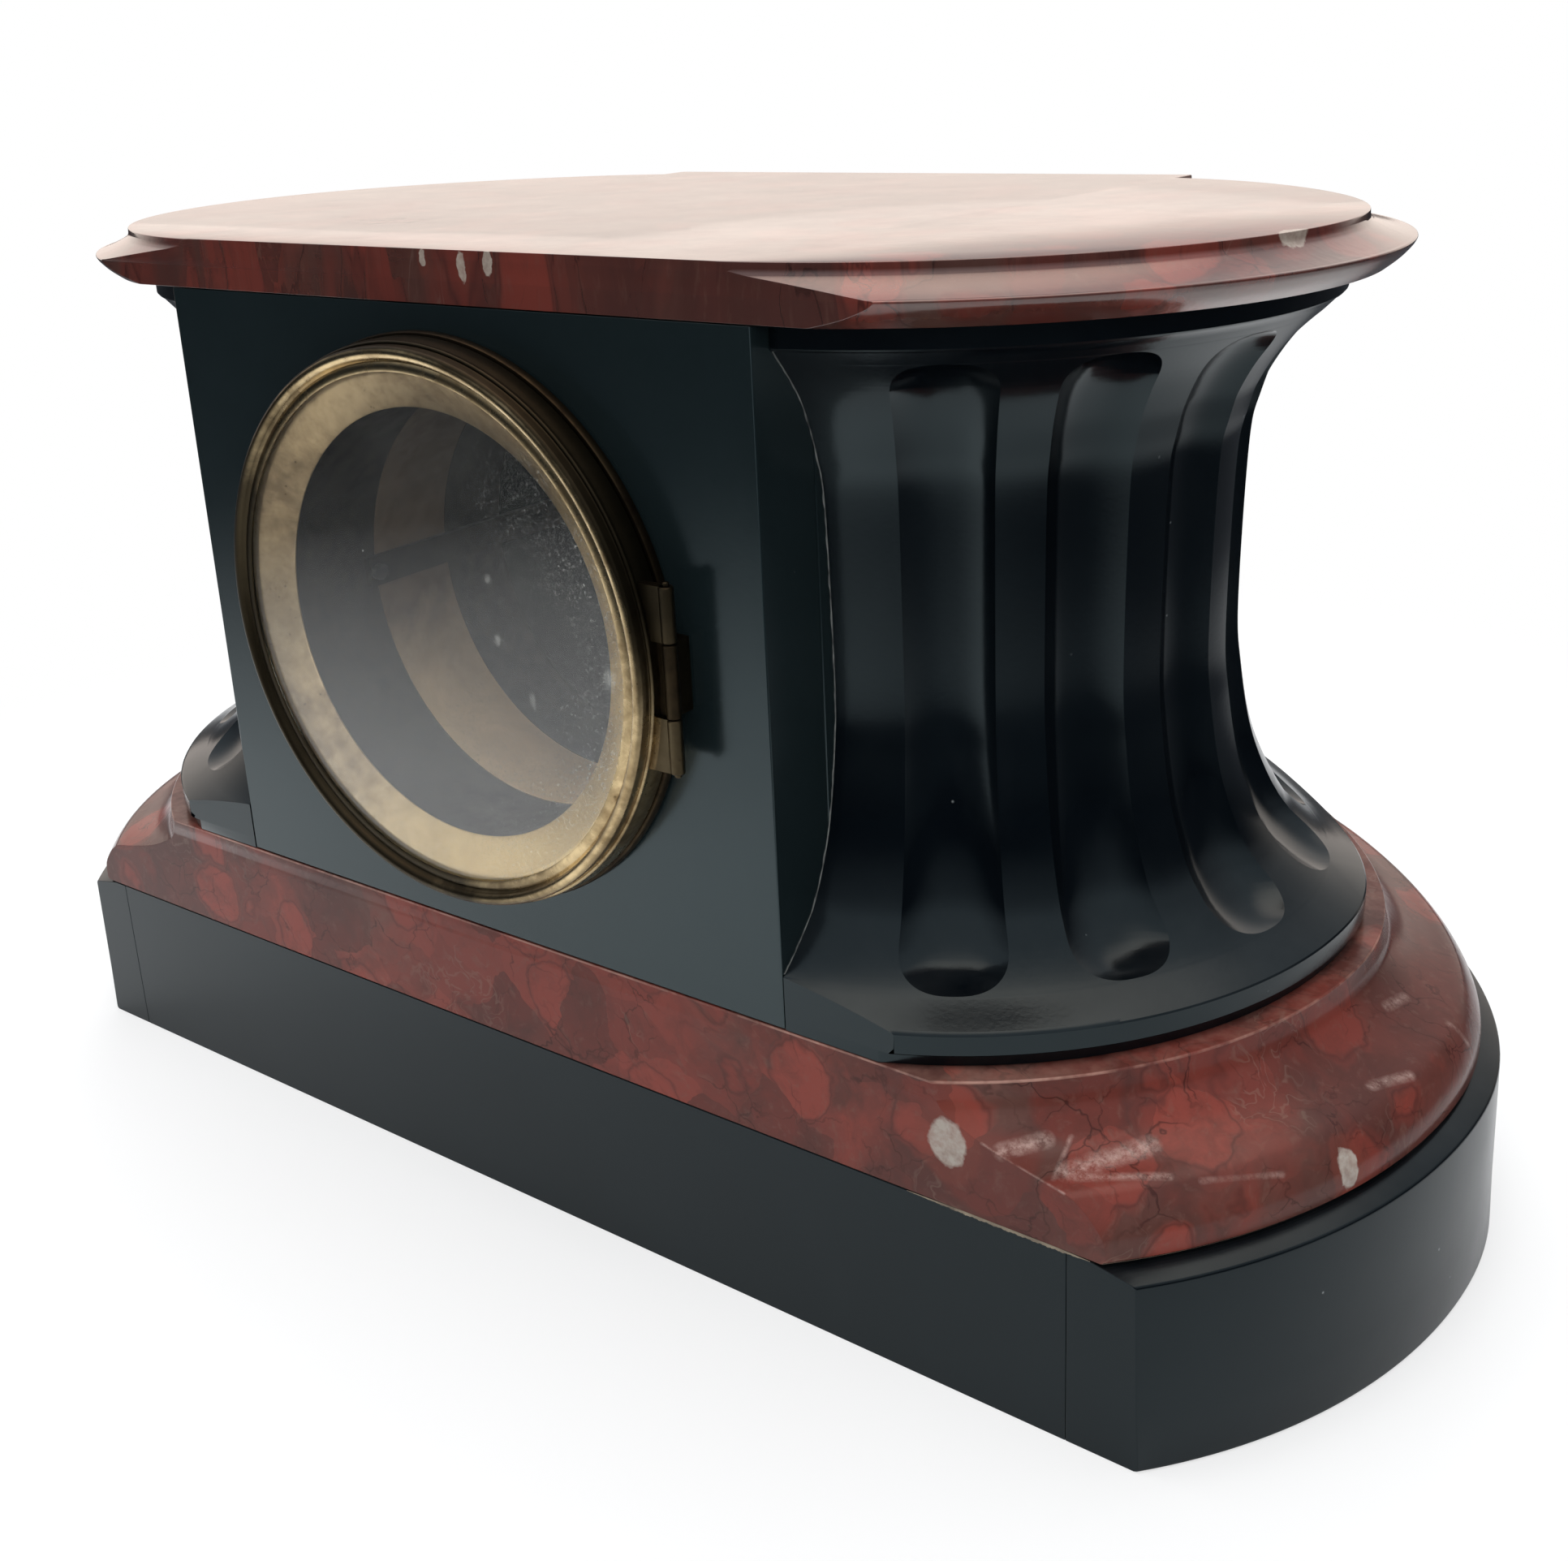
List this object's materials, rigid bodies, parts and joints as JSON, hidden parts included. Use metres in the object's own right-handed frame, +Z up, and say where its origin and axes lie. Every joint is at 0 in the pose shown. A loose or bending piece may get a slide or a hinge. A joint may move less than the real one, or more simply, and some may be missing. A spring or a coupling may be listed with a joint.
{
  "type": "marble mantel clock",
  "caption": "Slate and red marble mantel clock with fluted round ends, hinged glazed bezels front and back, dial with hands, and a striking pendulum movement inside.",
  "frame": {"origin": "on the ground, in the middle of the bounding box", "axes": "+X along the length, to the right of someone facing the dial; -Y is the dial side, +Y the flat back; +Z up"},
  "size_m": [0.446, 0.2574, 0.2511],
  "materials": {
    "slate": "polished, satin",
    "red_marble": "polished",
    "plaster": "matte",
    "brass": "aged",
    "steel": "blued and brushed",
    "glass": "polished",
    "enamel": "gloss"
  },
  "bodies": {
    "case": {"base_end_left": "slate", "base_end_right": "slate", "base_front_slab": "slate", "base_back_slab": "slate", "base_filling": "plaster", "plinth_moulding": "red_marble", "body_front_panel": "slate", "body_back_panel": "slate", "body_left_cheek": "slate", "body_right_cheek": "slate", "column_left": "slate", "column_right": "slate", "top_slab": "red_marble", "rear_fixed_ring": "brass", "rear_hinge_pin": "brass", "front_fixed_ring": "brass", "front_hinge_pin": "brass", "dial": "enamel", "front_plate": "brass", "back_plate": "brass", "pillar_1": "brass", "pillar_2": "brass", "pillar_3": "brass", "pillar_4": "brass", "strap_left": "brass", "strap_right": "brass", "strap_screw_left": "steel", "strap_screw_right": "steel", "suspension_cock": "brass", "bell_stand": "steel", "bell": "brass"},
    "rear_door": {"rear_bezel": "brass", "rear_sight_ring": "brass", "rear_glass": "glass"},
    "front_door": {"front_bezel": "brass", "front_sight_ring": "brass", "front_glass": "glass"},
    "minute_set": {"minute_hand": "steel", "hand_nut": "brass", "cannon_pinion": "steel"},
    "hour_set": {"hour_hand": "steel", "hour_wheel": "brass"},
    "minute_wheel": {"minute_wheel": "brass"},
    "time_barrel": {"time_barrel": "brass"},
    "time_winding_arbor": {"time_winding_arbor": "steel"},
    "second_wheel": {"second_wheel": "brass"},
    "centre_wheel": {"centre_wheel": "brass"},
    "third_wheel": {"third_wheel": "brass"},
    "escape_wheel": {"escape_wheel": "brass"},
    "pallets": {"pallets": "steel", "crutch": "steel"},
    "pendulum": {"suspension_spring": "steel", "pendulum_rod": "steel", "pendulum_bob": "brass"},
    "rating_nut": {"rating_nut": "brass"},
    "strike_barrel": {"strike_barrel": "brass"},
    "strike_winding_arbor": {"strike_winding_arbor": "steel"},
    "strike_second_wheel": {"strike_second_wheel": "brass"},
    "pin_wheel": {"pin_wheel": "brass"},
    "hammer": {"hammer": "steel"}
  },
  "joints": [
    {"name": "rear_door_hinge", "type": "hinge", "parent": "case", "child": "rear_door", "pos_m": [-0.0734, 0.12325, 0.162], "axis": [0, 0, 1], "range_deg": [0, 110]},
    {"name": "front_door_hinge", "type": "hinge", "parent": "case", "child": "front_door", "pos_m": [0.0734, -0.10075, 0.162], "axis": [0, 0, 1], "range_deg": [0, 110]},
    {"name": "minute_hand_turn", "type": "hinge", "parent": "case", "child": "minute_set", "pos_m": [0, -0.09, 0.162], "axis": [0, 1, 0], "continuous": true},
    {"name": "hour_hand_turn", "type": "hinge", "parent": "case", "child": "hour_set", "pos_m": [0, -0.09, 0.162], "axis": [0, 1, 0], "continuous": true},
    {"name": "minute_wheel_turn", "type": "hinge", "parent": "case", "child": "minute_wheel", "pos_m": [0, -0.0875, 0.1499], "axis": [0, 1, 0], "continuous": true},
    {"name": "escape_wheel_turn", "type": "hinge", "parent": "case", "child": "escape_wheel", "pos_m": [0, -0.06, 0.19622], "axis": [0, 1, 0], "continuous": true},
    {"name": "third_wheel_turn", "type": "hinge", "parent": "case", "child": "third_wheel", "pos_m": [0, -0.06, 0.17974], "axis": [0, 1, 0], "continuous": true},
    {"name": "centre_wheel_turn", "type": "hinge", "parent": "case", "child": "centre_wheel", "pos_m": [0, -0.06, 0.162], "axis": [0, 1, 0], "continuous": true},
    {"name": "second_wheel_turn", "type": "hinge", "parent": "case", "child": "second_wheel", "pos_m": [0.01733, -0.06, 0.17066], "axis": [0, 1, 0], "continuous": true},
    {"name": "time_barrel_turn", "type": "hinge", "parent": "case", "child": "time_barrel", "pos_m": [0.0232, -0.06, 0.146], "axis": [0, 1, 0], "continuous": true},
    {"name": "time_winding", "type": "hinge", "parent": "case", "child": "time_winding_arbor", "pos_m": [0.0232, -0.06, 0.146], "axis": [0, 1, 0], "range_deg": [0, 1800]},
    {"name": "pendulum_swing", "type": "hinge", "parent": "case", "child": "pendulum", "pos_m": [0, -0.037, 0.2094], "axis": [0, 1, 0], "range_deg": [-4, 4]},
    {"name": "pallet_rock", "type": "hinge", "parent": "case", "child": "pallets", "pos_m": [0, -0.048, 0.2094], "axis": [0, 1, 0], "range_deg": [-4, 4]},
    {"name": "rating_nut_turn", "type": "hinge", "parent": "pendulum", "child": "rating_nut", "pos_m": [0, -0.037, 0.09065], "axis": [0, 0, 1], "continuous": true},
    {"name": "strike_barrel_turn", "type": "hinge", "parent": "case", "child": "strike_barrel", "pos_m": [-0.0232, -0.06, 0.146], "axis": [0, 1, 0], "continuous": true},
    {"name": "strike_winding", "type": "hinge", "parent": "case", "child": "strike_winding_arbor", "pos_m": [-0.0232, -0.06, 0.146], "axis": [0, 1, 0], "range_deg": [0, 1800]},
    {"name": "strike_second_turn", "type": "hinge", "parent": "case", "child": "strike_second_wheel", "pos_m": [-0.01733, -0.06, 0.17066], "axis": [0, 1, 0], "continuous": true},
    {"name": "pin_wheel_turn", "type": "hinge", "parent": "case", "child": "pin_wheel", "pos_m": [-0.027, -0.06, 0.1874], "axis": [0, 1, 0], "continuous": true},
    {"name": "hammer_lift", "type": "hinge", "parent": "case", "child": "hammer", "pos_m": [-0.044, -0.06, 0.17], "axis": [0, 1, 0], "range_deg": [0, 18], "stiffness_Nm_per_rad": 0.02}
  ],
  "couplings": [
    {"joint": "hour_hand_turn", "follows": "minute_hand_turn", "ratio": 0.083333},
    {"joint": "minute_wheel_turn", "follows": "minute_hand_turn", "ratio": -0.33333},
    {"joint": "third_wheel_turn", "follows": "escape_wheel_turn", "ratio": -0.083333},
    {"joint": "centre_wheel_turn", "follows": "escape_wheel_turn", "ratio": 0.0064103},
    {"joint": "second_wheel_turn", "follows": "escape_wheel_turn", "ratio": -0.0010684},
    {"joint": "time_barrel_turn", "follows": "escape_wheel_turn", "ratio": 0.00017806},
    {"joint": "pallet_rock", "follows": "pendulum_swing", "ratio": 1},
    {"joint": "strike_second_turn", "follows": "strike_barrel_turn", "ratio": -6},
    {"joint": "pin_wheel_turn", "follows": "strike_barrel_turn", "ratio": 36}
  ]
}
